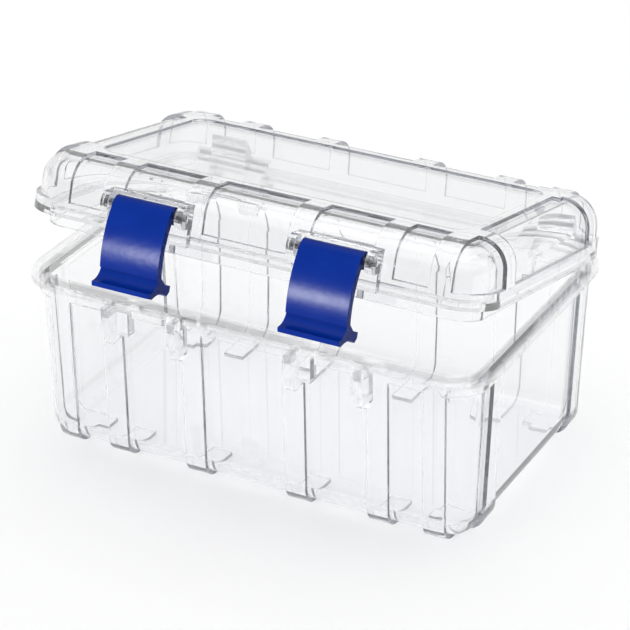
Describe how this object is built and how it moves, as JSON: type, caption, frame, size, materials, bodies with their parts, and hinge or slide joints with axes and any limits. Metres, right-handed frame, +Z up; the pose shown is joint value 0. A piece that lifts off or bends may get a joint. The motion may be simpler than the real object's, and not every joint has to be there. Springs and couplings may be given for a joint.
{
  "type": "hinged storage box",
  "caption": "Clear rectangular storage box with a hinged domed lid, ribbed walls and lever snap latches on the front, shown with its lid ajar.",
  "frame": {"origin": "middle of the whole outline seen from above, on the plane the box stands on", "axes": "+X along the long front towards the box's right as seen from the front, +Y from the latches to the hinges, +Z up"},
  "size_m": [0.215, 0.1644, 0.1323],
  "materials": {
    "clear_plastic": "clear, polished, colourless",
    "blue_plastic": "gloss royal blue",
    "steel": "plain bright steel"
  },
  "bodies": {
    "base": {"base_tub": "clear_plastic", "left_hinge_pin": "steel", "right_hinge_pin": "steel"},
    "lid": {"lid": "clear_plastic", "left_latch_pin": "steel", "right_latch_pin": "steel"},
    "left_latch": {"left_latch": "blue_plastic"},
    "right_latch": {"right_latch": "blue_plastic"}
  },
  "joints": [
    {"name": "lid_hinge", "type": "hinge", "parent": "base", "child": "lid", "pos_m": [0, 0.0789, 0.0798], "axis": [-1, 0, 0], "range_deg": [-12.6, 87.4]},
    {"name": "left_latch_pivot", "type": "hinge", "parent": "lid", "child": "left_latch", "pos_m": [-0.0427, -0.0602, 0.1236], "axis": [-1, 0, 0], "range_deg": [-7.5, 100]},
    {"name": "right_latch_pivot", "type": "hinge", "parent": "lid", "child": "right_latch", "pos_m": [0.0427, -0.0602, 0.1236], "axis": [-1, 0, 0], "range_deg": [-7.5, 100]}
  ]
}
